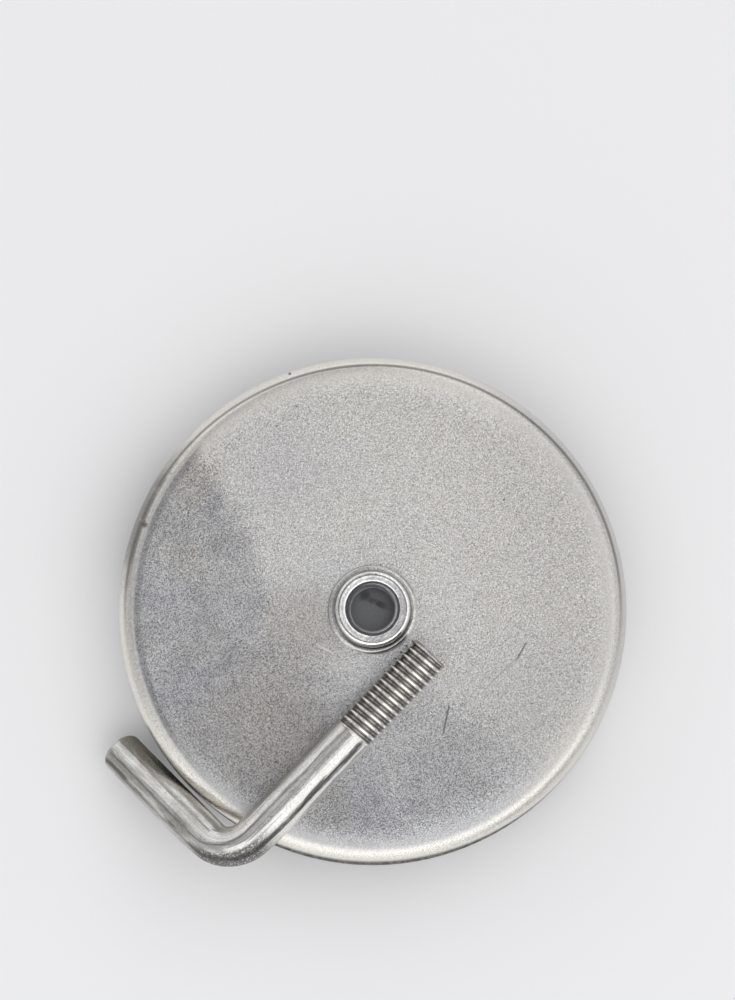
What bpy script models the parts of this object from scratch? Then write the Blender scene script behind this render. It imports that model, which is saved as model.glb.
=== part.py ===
# Magnetic hook: a round pot magnet with a threaded bush in its back, and the
# bent hook that screws into the bush, laid loose across the magnet's back.
#
# Metres, +Z up. The origin is the middle of the magnet's contact face, which
# lies on z = 0, and +Z runs along the bush's bore. +X runs along the hook's
# long leg, from its bend to its thread.

from math import asin, atan, atan2, cos, pi, radians, sin, sqrt, tan

import bpy

mm = 0.001

# Every pair of pieces that touch keeps this gap.
SEAT_GAP = 0.3 * mm

# Pot: the drawn steel cup.
POT_DIAMETER = 60.0 * mm
POT_HEIGHT = 10.0 * mm
POT_SHEET = 1.8 * mm
POT_CORNER = 2.0 * mm           # outside radius between back and wall
POT_INNER_CORNER = 0.8 * mm
POT_RIM_BREAK = 0.3 * mm        # broken edges of the open rim
POT_HOLE_BREAK = 0.2 * mm

# Threaded bush in the middle of the pot's back. Its walls stand round the bore.
BUSH_BOSS_HEIGHT = 3.6 * mm     # above the pot's back
BUSH_BOSS_WALL = 1.8 * mm
BUSH_LEDGE = 0.9 * mm           # the collar's width outside the boss
BUSH_COLLAR_HEIGHT = 0.5 * mm
BUSH_NECK_WALL = 1.2 * mm       # in the pot's hole
BUSH_LIP_REACH = 0.9 * mm       # swaged out under the sheet
BUSH_COUNTERSINK = 0.6 * mm     # at the top of the bore
BUSH_TOP_ROUND = 0.35 * mm
BUSH_COLLAR_ROUND = 0.2 * mm
BUSH_ROOT_FILLET = 0.3 * mm     # hollow between boss and collar
BUSH_LIP_FLARE = 0.3 * mm
BUSH_EXIT_BREAK = 0.2 * mm      # lower end of the bore

# Ferrite disc and the resin that holds it.
MAGNET_BREAK = 0.5 * mm         # broken edges of the sintered disc
RESIN_FILM = 0.5 * mm           # behind the disc
RESIN_RING = 1.2 * mm           # around the disc
RESIN_RECESS = 0.6 * mm         # resin stays back from the contact face
RESIN_HOLLOW = 0.25 * mm        # sag of the ring's open face

# Hook: round rod, bent once, with a thread rolled on the end of its long leg.
HOOK_ROD = 5.0 * mm
HOOK_LONG_LEG = 36.5 * mm       # outside lengths
HOOK_SHORT_LEG = 23.9 * mm
HOOK_BEND_RADIUS = 4.0 * mm     # to the rod's centre line
HOOK_ANGLE = radians(89.5)      # between the legs
THREAD_RISE = 0.25 * mm         # crests above the rod's surface
THREAD_OVERLAP = 0.15 * mm      # crests of hook and bush, past each other
THREAD_LENGTH = 12.6 * mm
THREAD_RUN_OUT = 0.8 * mm
THREAD_END_BREAK = 0.5 * mm
TIP_BREAK = 0.45 * mm
TIP_ROUND = 0.2 * mm            # second, flatter step of the tip's edge

# Where the loose hook lies on the pot's back: its thread just clears the bush,
# and its short leg hangs just outside the pot's wall.
HOOK_TO_BUSH = 0.5 * mm
HOOK_TO_WALL = 0.3 * mm

POT_FACETS = 96
BUSH_FACETS = 48
ROD_BEVEL_RESOLUTION = 12       # 28 sides round the rod
BEND_STEPS = 14
CORNER_STEPS = 6
SMALL_ROUND_STEPS = 3
SMOOTH_ANGLE = radians(30)
MERGE_DISTANCE = 0.001 * mm

# Sizes that follow from the ones above.
pot_radius = POT_DIAMETER / 2
pot_inside = pot_radius - POT_SHEET
pot_ceiling = POT_HEIGHT - POT_SHEET
flat_back_radius = pot_radius - POT_CORNER

rod_radius = HOOK_ROD / 2
crest_radius = rod_radius + THREAD_RISE
long_leg = HOOK_LONG_LEG - rod_radius
short_leg = HOOK_SHORT_LEG - rod_radius
thread_start = long_leg - THREAD_LENGTH

bush_bore = crest_radius - THREAD_OVERLAP
bush_mouth = bush_bore + BUSH_COUNTERSINK
bush_boss = bush_bore + BUSH_BOSS_WALL
bush_collar = bush_boss + BUSH_LEDGE
bush_neck = bush_bore + BUSH_NECK_WALL
bush_lip = bush_neck + BUSH_LIP_REACH
bush_top = POT_HEIGHT + BUSH_BOSS_HEIGHT
bush_collar_seat = POT_HEIGHT + SEAT_GAP
bush_lip_top = pot_ceiling - SEAT_GAP
bush_lip_bottom = bush_lip_top - RESIN_FILM
pot_hole = bush_neck + SEAT_GAP

resin_top = pot_ceiling - SEAT_GAP
resin_film_bottom = resin_top - RESIN_FILM
resin_outside = pot_inside - SEAT_GAP
resin_inside = resin_outside - RESIN_RING
resin_hole = bush_lip + SEAT_GAP

magnet_radius = resin_inside - SEAT_GAP
magnet_top = resin_film_bottom - SEAT_GAP

# The legs' centre lines cross at the hook's corner, beside the pot.
hook_side = bush_collar + HOOK_TO_BUSH + crest_radius
hook_corner_x = -(pot_radius + HOOK_TO_WALL + rod_radius) - short_leg * cos(HOOK_ANGLE)

# The long leg lies on the edge of the flat back and on the first thread crest,
# so it slopes by the difference of the two radii.
edge_contact_x = -sqrt(flat_back_radius ** 2 - hook_side ** 2)
crest_contact_x = hook_corner_x + thread_start
hook_slope = atan((crest_radius - rod_radius) / (crest_contact_x - edge_contact_x))
hook_corner_z = (POT_HEIGHT + SEAT_GAP + rod_radius
                 - (edge_contact_x - hook_corner_x) * tan(hook_slope))

# The short leg hangs over the pot's side until its tip meets the surface that
# the magnet lies on: reach * sin(lean) + rod_radius * cos(lean) = drop.
tip_reach = short_leg * sin(HOOK_ANGLE)
tip_drop = hook_corner_z - SEAT_GAP
hook_lean = asin(tip_drop / sqrt(tip_reach ** 2 + rod_radius ** 2)) - atan2(rod_radius, tip_reach)


def clear_scene():
    for item in list(bpy.data.objects):
        bpy.data.objects.remove(item, do_unlink=True)


def make_collection(name):
    collection = bpy.data.collections.new(name)
    bpy.context.scene.collection.children.link(collection)
    return collection


def make_material(name, colour, metallic, roughness):
    material = bpy.data.materials.new(name)
    material.use_nodes = True
    shader = material.node_tree.nodes["Principled BSDF"]
    shader.inputs["Base Color"].default_value = (*colour, 1.0)
    shader.inputs["Metallic"].default_value = metallic
    shader.inputs["Roughness"].default_value = roughness
    material.diffuse_color = (*colour, 1.0)
    return material


def arc(centre, radius, start, end, steps):
    """Points (r, z) on an arc, both ends included, angles in degrees."""
    points = []
    for step in range(steps + 1):
        angle = radians(start + (end - start) * step / steps)
        points.append((centre[0] + radius * cos(angle), centre[1] + radius * sin(angle)))
    return points


def turned_piece(name, profile, closed, facets, material, collection):
    """Turn an (r, z) profile about Z; at +X it runs down its outer side."""
    mesh = bpy.data.meshes.new(name)
    edges = [(i, i + 1) for i in range(len(profile) - 1)]
    if closed:
        edges.append((len(profile) - 1, 0))
    mesh.from_pydata([(r, 0.0, z) for r, z in profile], edges, [])
    piece = bpy.data.objects.new(name, mesh)
    piece.data.materials.append(material)
    collection.objects.link(piece)

    screw = piece.modifiers.new("Turn", "SCREW")
    screw.angle = 2 * pi
    screw.steps = facets
    screw.render_steps = facets
    screw.use_merge_vertices = True
    screw.merge_threshold = MERGE_DISTANCE
    screw.use_smooth_shade = True
    return piece


def shade_by_angle(piece):
    """Freeze the piece's modifiers and shade it smooth but for its sharp edges."""
    depsgraph = bpy.context.evaluated_depsgraph_get()
    mesh = bpy.data.meshes.new_from_object(piece.evaluated_get(depsgraph))
    mesh.name = piece.name
    piece.modifiers.clear()
    piece.data = mesh
    mesh.shade_smooth()
    mesh.set_sharp_from_angle(angle=SMOOTH_ANGLE)


def make_pot(collection):
    steel = make_material("pot_nickel", (0.60, 0.58, 0.55), 1.0, 0.38)
    inner_arc_r = pot_inside - POT_INNER_CORNER
    inner_arc_z = pot_ceiling - POT_INNER_CORNER
    profile = [
        (pot_hole, POT_HEIGHT - POT_HOLE_BREAK),
        (pot_hole + POT_HOLE_BREAK, POT_HEIGHT),
    ]
    profile += arc((flat_back_radius, POT_HEIGHT - POT_CORNER), POT_CORNER, 90, 0, CORNER_STEPS)
    profile += [
        (pot_radius, POT_RIM_BREAK),
        (pot_radius - POT_RIM_BREAK, 0.0),
        (pot_inside + POT_RIM_BREAK, 0.0),
        (pot_inside, POT_RIM_BREAK),
    ]
    profile += arc((inner_arc_r, inner_arc_z), POT_INNER_CORNER, 0, 90, SMALL_ROUND_STEPS)
    profile += [
        (pot_hole + POT_HOLE_BREAK, pot_ceiling),
        (pot_hole, pot_ceiling + POT_HOLE_BREAK),
    ]
    pot = turned_piece("pot", profile, True, POT_FACETS, steel, collection)
    shade_by_angle(pot)
    return pot


def make_bush(collection):
    steel = make_material("bush_nickel", (0.66, 0.65, 0.63), 1.0, 0.25)
    collar_top = bush_collar_seat + BUSH_COLLAR_HEIGHT
    profile = [(bush_bore, bush_top - BUSH_COUNTERSINK), (bush_mouth, bush_top)]
    profile += arc((bush_boss - BUSH_TOP_ROUND, bush_top - BUSH_TOP_ROUND),
                   BUSH_TOP_ROUND, 90, 0, SMALL_ROUND_STEPS)
    profile += arc((bush_boss + BUSH_ROOT_FILLET, collar_top + BUSH_ROOT_FILLET),
                   BUSH_ROOT_FILLET, 180, 270, SMALL_ROUND_STEPS)
    profile += arc((bush_collar - BUSH_COLLAR_ROUND, collar_top - BUSH_COLLAR_ROUND),
                   BUSH_COLLAR_ROUND, 90, 0, SMALL_ROUND_STEPS)
    profile += [
        (bush_collar, bush_collar_seat),
        (bush_neck, bush_collar_seat),
        (bush_neck, bush_lip_top),
        (bush_lip - BUSH_LIP_FLARE, bush_lip_top),
        (bush_lip, bush_lip_top - BUSH_LIP_FLARE),
        (bush_lip, bush_lip_bottom),
        (bush_bore + BUSH_EXIT_BREAK, bush_lip_bottom),
        (bush_bore, bush_lip_bottom + BUSH_EXIT_BREAK),
    ]
    bush = turned_piece("threaded_bush", profile, True, BUSH_FACETS, steel, collection)
    shade_by_angle(bush)
    return bush


def make_magnet(collection):
    ferrite = make_material("ferrite", (0.045, 0.045, 0.048), 0.0, 0.60)
    profile = [
        (0.0, magnet_top),
        (magnet_radius - MAGNET_BREAK, magnet_top),
        (magnet_radius, magnet_top - MAGNET_BREAK),
        (magnet_radius, MAGNET_BREAK),
        (magnet_radius - MAGNET_BREAK, 0.0),
        (0.0, 0.0),
    ]
    magnet = turned_piece("magnet", profile, False, POT_FACETS, ferrite, collection)
    shade_by_angle(magnet)
    return magnet


def make_resin(collection):
    resin = make_material("bonding_resin", (0.10, 0.09, 0.075), 0.0, 0.35)
    # The outer corner clears the pot's inner corner by the same gap as the wall.
    corner = POT_INNER_CORNER
    ring_middle = (resin_inside + resin_outside) / 2
    profile = [(resin_hole, resin_top)]
    profile += arc((resin_outside - corner, resin_top - corner), corner, 90, 0, SMALL_ROUND_STEPS)
    profile += [
        (resin_outside, RESIN_RECESS),
        (ring_middle, RESIN_RECESS + RESIN_HOLLOW),
        (resin_inside, RESIN_RECESS),
        (resin_inside, resin_film_bottom),
        (resin_hole, resin_film_bottom),
    ]
    ring = turned_piece("bonding_resin", profile, True, POT_FACETS, resin, collection)
    shade_by_angle(ring)
    return ring


def hook_path():
    """Stations along the rod in its own plane: (x, y, radius).

    The legs' centre lines cross at the plane's origin, the long leg runs along
    +X, and the list goes from the threaded end round the bend to the tip.
    """
    turn = pi - HOOK_ANGLE
    tangent = HOOK_BEND_RADIUS * tan(turn / 2)
    stations = [
        (long_leg, 0.0, crest_radius - THREAD_END_BREAK),
        (long_leg - THREAD_END_BREAK, 0.0, crest_radius),
        (thread_start, 0.0, crest_radius),
        (thread_start - THREAD_RUN_OUT, 0.0, rod_radius),
    ]
    for step in range(BEND_STEPS + 1):
        angle = -pi / 2 - turn * step / BEND_STEPS
        stations.append((tangent + HOOK_BEND_RADIUS * cos(angle),
                         HOOK_BEND_RADIUS + HOOK_BEND_RADIUS * sin(angle),
                         rod_radius))
    tip_steps = [
        (TIP_BREAK + TIP_ROUND, 0.0),
        (TIP_ROUND, TIP_BREAK * sin(pi / 6)),
        (0.0, TIP_BREAK + TIP_ROUND),
    ]
    for back, narrowing in tip_steps:
        along = short_leg - back
        stations.append((along * cos(HOOK_ANGLE), along * sin(HOOK_ANGLE), rod_radius - narrowing))
    return stations


def make_hook(collection):
    steel = make_material("hook_nickel", (0.62, 0.60, 0.56), 1.0, 0.30)
    stations = hook_path()
    curve = bpy.data.curves.new("hook_rod", "CURVE")
    curve.dimensions = "3D"
    curve.bevel_depth = rod_radius
    curve.bevel_resolution = ROD_BEVEL_RESOLUTION
    curve.use_fill_caps = True
    spline = curve.splines.new("POLY")
    spline.points.add(len(stations) - 1)
    for point, (x, y, radius) in zip(spline.points, stations):
        point.co = (x, y, 0.0, 1.0)
        point.radius = radius / rod_radius
    hook = bpy.data.objects.new("hook", curve)
    hook.data.materials.append(steel)
    hook.location = (hook_corner_x, -hook_side, hook_corner_z)
    hook.rotation_euler = (-hook_lean, -hook_slope, 0.0)
    collection.objects.link(hook)
    return hook


def main():
    clear_scene()
    parts = make_collection("magnetic_hook")
    make_pot(parts)
    make_bush(parts)
    make_magnet(parts)
    make_resin(parts)
    make_hook(parts)
    bpy.context.view_layer.update()


main()
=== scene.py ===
from math import asin, atan, atan2, cos, hypot, pi, radians, sin, sqrt, tan

import bmesh
import bpy
from mathutils import Euler, Matrix, Vector, noise


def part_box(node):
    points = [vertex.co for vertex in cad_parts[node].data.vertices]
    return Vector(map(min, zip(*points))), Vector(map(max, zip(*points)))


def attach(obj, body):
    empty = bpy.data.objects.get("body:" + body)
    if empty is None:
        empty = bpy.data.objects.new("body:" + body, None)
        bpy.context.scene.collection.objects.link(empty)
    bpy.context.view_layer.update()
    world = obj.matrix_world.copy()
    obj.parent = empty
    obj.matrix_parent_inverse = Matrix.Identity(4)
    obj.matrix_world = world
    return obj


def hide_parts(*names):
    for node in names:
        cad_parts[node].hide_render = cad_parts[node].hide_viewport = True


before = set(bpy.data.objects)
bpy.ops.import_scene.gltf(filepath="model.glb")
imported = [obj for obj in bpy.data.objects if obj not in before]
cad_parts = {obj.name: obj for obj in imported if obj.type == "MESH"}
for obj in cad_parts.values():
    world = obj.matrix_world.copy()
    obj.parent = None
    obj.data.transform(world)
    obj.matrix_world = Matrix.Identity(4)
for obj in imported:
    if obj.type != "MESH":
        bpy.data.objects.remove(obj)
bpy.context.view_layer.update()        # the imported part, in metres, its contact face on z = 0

mm = 0.001
print("frame loaded, nodes:", sorted(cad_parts))

mergeGap = 0.002 * mm    # points nearer than this become one
cutGap = 0.0001 * mm     # points nearer than this to a cut lie on it
pickSlack = 0.02 * mm    # how far off an edge or a cap may lie and still be picked


# Hand tools: each one does what a hand would do in the viewport.

def putDownAll():
    bpy.ops.object.select_all(action="DESELECT")


def takeUp(piece):
    putDownAll()
    piece.select_set(True)
    bpy.context.view_layer.objects.active = piece


def nameNew(name):
    # the primitive just added gets its name, and its place goes into its mesh
    bpy.ops.object.transform_apply(location=True, rotation=True, scale=True)
    piece = bpy.context.object
    piece.name = name
    piece.data.name = name
    return piece


def startVertex(name, x, z):
    # one vertex in edit mode, to be drawn out into an outline
    putDownAll()
    bpy.ops.mesh.primitive_plane_add(size=mm)
    piece = nameNew(name)
    bpy.ops.object.mode_set(mode="EDIT")
    bpy.ops.mesh.select_mode(type="VERT")
    bpy.ops.mesh.select_all(action="SELECT")
    bpy.ops.mesh.merge(type="CENTER")
    bpy.ops.transform.translate(value=(x, 0, z))
    return piece


def drawOn(x, z):
    bpy.ops.mesh.extrude_region_move(TRANSFORM_OT_translate={"value": (x, 0, z)})


def pick(kind, test):
    # in edit mode: selects what passes the test, and nothing else
    bpy.ops.mesh.select_mode(type=kind)
    bpy.ops.mesh.select_all(action="DESELECT")
    mesh = bpy.context.object.data
    shape = bmesh.from_edit_mesh(mesh)
    for part in {"VERT": shape.verts, "EDGE": shape.edges, "FACE": shape.faces}[kind]:
        if test(part):
            part.select_set(True)
    shape.select_flush_mode()
    bmesh.update_edit_mesh(mesh)


def onRing(radius, height):
    # passes an edge that lies on that circle round the bore's axis
    def test(edge):
        return all(abs(hypot(v.co.x, v.co.y) - radius) < pickSlack and abs(v.co.z - height) < pickSlack
                   for v in edge.verts)
    return test


def capFacing(side, height):
    # passes a level cap at that height; side is 1 for one that looks up, -1 for down
    def test(face):
        level = face.normal.z * side > 0.9 and abs(face.calc_center_median().z - height) < pickSlack
        return level and len(face.verts) > 4
    return test


def roundRing(radius, height, width, steps):
    pick("EDGE", onRing(radius, height))
    bpy.ops.mesh.bevel(offset=width, offset_type="OFFSET", segments=steps, profile=0.5, affect="EDGES")


def drawOutline(name, corners, steps=4):
    # corners are (x, z, rounding); a flat outline that starts as one vertex
    piece = startVertex(name, corners[0][0], corners[0][1])
    for (x, z, _), (nextX, nextZ, _) in zip(corners, corners[1:] + corners[:1]):
        drawOn(nextX - x, nextZ - z)
    bpy.ops.mesh.select_all(action="SELECT")
    bpy.ops.mesh.remove_doubles(threshold=mergeGap)
    for x, z, rounding in corners:
        if rounding:
            pick("VERT", lambda v: hypot(v.co.x - x, v.co.z - z) < mergeGap)
            bpy.ops.mesh.bevel(offset=rounding, segments=steps, affect="VERTICES")
    return piece


def turnOutline(facets):
    bpy.ops.mesh.select_all(action="SELECT")
    bpy.ops.mesh.spin(steps=facets, angle=2 * pi, center=(0, 0, 0), axis=(0, 0, 1))
    bpy.ops.mesh.select_all(action="SELECT")
    bpy.ops.mesh.remove_doubles(threshold=mergeGap)
    bpy.ops.mesh.normals_make_consistent(inside=False)
    bpy.ops.object.mode_set(mode="OBJECT")


def cutLevel(height, below):
    # cuts off what lies below that height, or above it, and closes the cut
    bpy.ops.mesh.select_all(action="SELECT")
    bpy.ops.mesh.bisect(plane_co=(0, 0, height), plane_no=(0, 0, 1), use_fill=True,
                        clear_inner=below, clear_outer=not below, threshold=cutGap)


def wind(piece, pitch, turns, steps):
    # a profile one pitch long becomes an unbroken thread
    screw = piece.modifiers.new("thread", "SCREW")
    screw.angle = 2 * pi
    screw.screw_offset = pitch
    screw.iterations = turns
    screw.steps = screw.render_steps = steps
    takeUp(piece)
    bpy.ops.object.modifier_apply(modifier=screw.name)
    bpy.ops.object.mode_set(mode="EDIT")
    bpy.ops.mesh.select_all(action="SELECT")
    bpy.ops.mesh.remove_doubles(threshold=2 * mergeGap)
    bpy.ops.object.mode_set(mode="OBJECT")


def finishPiece(piece, body, node, material, angle):
    takeUp(piece)
    bpy.ops.object.shade_smooth_by_angle(angle=angle)
    piece.data.materials.clear()
    piece.data.materials.append(material)
    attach(piece, body)
    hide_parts(node)
    print(piece.name, len(piece.data.vertices), "vertices")


def waves(place, size, seed):
    # smooth noise from -1 to 1, with features about that size; each seed reads another part of it
    return noise.noise(Vector(place) / size + Vector((seed, 7.3 * seed, -3.1 * seed)))


def clamped(share):
    return min(1.0, max(0.0, share))


def eased(share):
    # from 0 to 1 with a soft start and a soft end
    share = clamped(share)
    return share * share * (3 - 2 * share)


# Shader arithmetic: a wire is one output of a node, and can be added, multiplied and so on.

class wire:
    def __init__(self, recipe, socket):
        self.recipe = recipe
        self.socket = socket

    def maths(self, operation, *values):
        return self.recipe.add("ShaderNodeMath", {"operation": operation}, dict(enumerate(values)))

    def __add__(self, other):
        return self.maths("ADD", self, other)

    def __sub__(self, other):
        return self.maths("SUBTRACT", self, other)

    def __rsub__(self, other):
        return self.maths("SUBTRACT", other, self)

    def __mul__(self, other):
        return self.maths("MULTIPLY", self, other)

    __radd__ = __add__
    __rmul__ = __mul__

    def least(self, other):
        return self.maths("MINIMUM", self, other)

    def most(self, other):
        return self.maths("MAXIMUM", self, other)

    def size(self):
        return self.maths("ABSOLUTE", self)

    def swing(self, reach):
        # a noise runs round 0.5; this one runs round 0, with that reach
        return (self - 0.5) * reach

    def rise(self, low, high):
        # 0 below low, 1 above high and smooth between
        return self.recipe.add("ShaderNodeMapRange", {"interpolation_type": "SMOOTHSTEP"},
                               {"Value": self, "From Min": low, "From Max": high})

    def fall(self, low, high):
        return 1 - self.rise(low, high)

    def between(self, none, full, fade, end):
        # 1 from full to fade, 0 below none and above end
        return self.rise(none, full) * self.fall(fade, end)


class recipe:
    def __init__(self, name):
        self.material = bpy.data.materials.new(name)
        self.material.use_nodes = True
        self.tree = self.material.node_tree
        self.tree.nodes.clear()
        self.place = self.add("ShaderNodeTexCoord", {}, {}, "Object")

    def add(self, kind, settings, sockets, out=0):
        node = self.tree.nodes.new(kind)
        for key, value in settings.items():
            setattr(node, key, value)
        for key, value in sockets.items():
            if isinstance(value, wire):
                self.tree.links.new(value.socket, node.inputs[key])
            else:
                node.inputs[key].default_value = value
        return wire(self, node.outputs[out] if len(node.outputs) else None)

    def vector(self, operation, *values, out=0):
        sockets = dict(enumerate(values))
        if operation == "SCALE":
            sockets = {0: values[0], "Scale": values[1]}
        return self.add("ShaderNodeVectorMath", {"operation": operation}, sockets, out)

    def part(self, vector, letter):
        return self.add("ShaderNodeSeparateXYZ", {}, {0: vector}, letter)

    def moved(self, place, rotation=(0, 0, 0), scale=(1, 1, 1)):
        return self.add("ShaderNodeMapping", {}, {"Vector": place, "Rotation": rotation, "Scale": scale})

    def along(self, way, start=None):
        # how far a point lies in that direction, from the origin or from a start
        place = self.place if start is None else self.vector("SUBTRACT", self.place, start)
        return self.vector("DOT_PRODUCT", place, way, out="Value")

    def axisDistance(self, middle=(0, 0)):
        # distance from an upright axis through that place
        flat = self.vector("MULTIPLY", self.vector("SUBTRACT", self.place, (*middle, 0)), (1, 1, 0))
        return self.vector("LENGTH", flat, out="Value")

    def grain(self, size, detail, rough=0.5, warp=0.0, place=None):
        # noise round 0.5, with features about that size
        return self.add("ShaderNodeTexNoise", {},
                        {"Vector": place or self.place, "Scale": 1 / size, "Detail": detail,
                         "Roughness": rough, "Distortion": warp})

    def drawn(self, share, size, detail, rough=0.5, place=None):
        # the same noise drawn out along z, where it runs at that share of its speed
        return self.grain(size, detail, rough, place=self.moved(place or self.place, scale=(1, 1, share)))

    def blend(self, share, first, second):
        first = first if isinstance(first, wire) else (*first, 1)
        second = second if isinstance(second, wire) else (*second, 1)
        return self.add("ShaderNodeMix", {"data_type": "RGBA"}, {0: share, 6: first, 7: second}, 2)

    def lay(self, colour, share, coat):
        # lays a coat over a colour; a coat is its strength and its own colour
        strength, top = coat
        return self.blend(share * strength, colour, top)

    def scaled(self, colour, share):
        # a colour times a number
        return self.vector("SCALE", colour, share)

    def bump(self, height, depth, below=None):
        sockets = {"Height": height, "Distance": depth, "Strength": 1.0}
        if below:
            sockets["Normal"] = below
        return self.add("ShaderNodeBump", {}, sockets)

    def mostOf(self, shares):
        first, *others = shares
        for other in others:
            first = first.most(other)
        return first

    def spot(self, place, ragged):
        # place is (right, up, full to, gone at) in mm, as the photograph shows the back
        right, up, full, none = (value * mm for value in place)
        return 1 - (self.axisDistance(stagePoint(right, up, 0)[:2]) + ragged).rise(full, none)

    def stroke(self, right, up, endRight, endUp, width):
        # 1 along a short line on the back, in mm as the photograph shows it; it starts sharp and thins out
        core, head, tail = 0.4 * width * mm, 0.3 * mm, 1.2 * mm
        start = stagePoint(right * mm, up * mm, 0)
        way = stagePoint(endRight * mm, endUp * mm, 0) - start
        along = self.along(way.normalized(), start)
        across = self.along(Vector((-way.y, way.x, 0)).normalized(), start)
        line = across.size().fall(core, width * mm)
        return line * along.rise(0, head) * along.fall(way.length - tail, way.length)

    def scratches(self, spacing, turn, width, stretch=14.0):
        # short thin lines that run one way, 0 to 1, in patches some spacings wide
        patchSize, patchEdge = 3.2 * spacing, (0.62, 0.70)
        laid = self.moved(self.place, rotation=(0, 0, turn), scale=(stretch, 1, 1))
        cells = self.vector("DIVIDE", laid, (stretch ** 2, 1, 1))
        cracks = self.add("ShaderNodeTexVoronoi", {"feature": "DISTANCE_TO_EDGE"},
                          {"Vector": cells, "Scale": 1 / spacing})
        return cracks.fall(0.0, width / spacing) * self.grain(patchSize, 2.0, place=laid).rise(*patchEdge)

    def done(self, sockets, share=None, overlay=None):
        # the finished material; an overlay covers the first surface by that share
        shader = self.add("ShaderNodeBsdfPrincipled", {}, sockets, "BSDF")
        if overlay:
            second = self.add("ShaderNodeBsdfPrincipled", {}, overlay, "BSDF")
            shader = self.add("ShaderNodeMixShader", {}, {0: share, 1: shader, 2: second})
        self.add("ShaderNodeOutputMaterial", {}, {"Surface": shader})
        return self.material


# In the pieces' settings a grain is (size, detail, roughness, warp), with its share before them where
# it is drawn out along z. A pair of numbers is where something starts and where it is full, or where
# it is full and where it ends. Up, low and right are the photograph's, from the pot's middle.

# Pot: a drawn steel cup, nickel plated.

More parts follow.
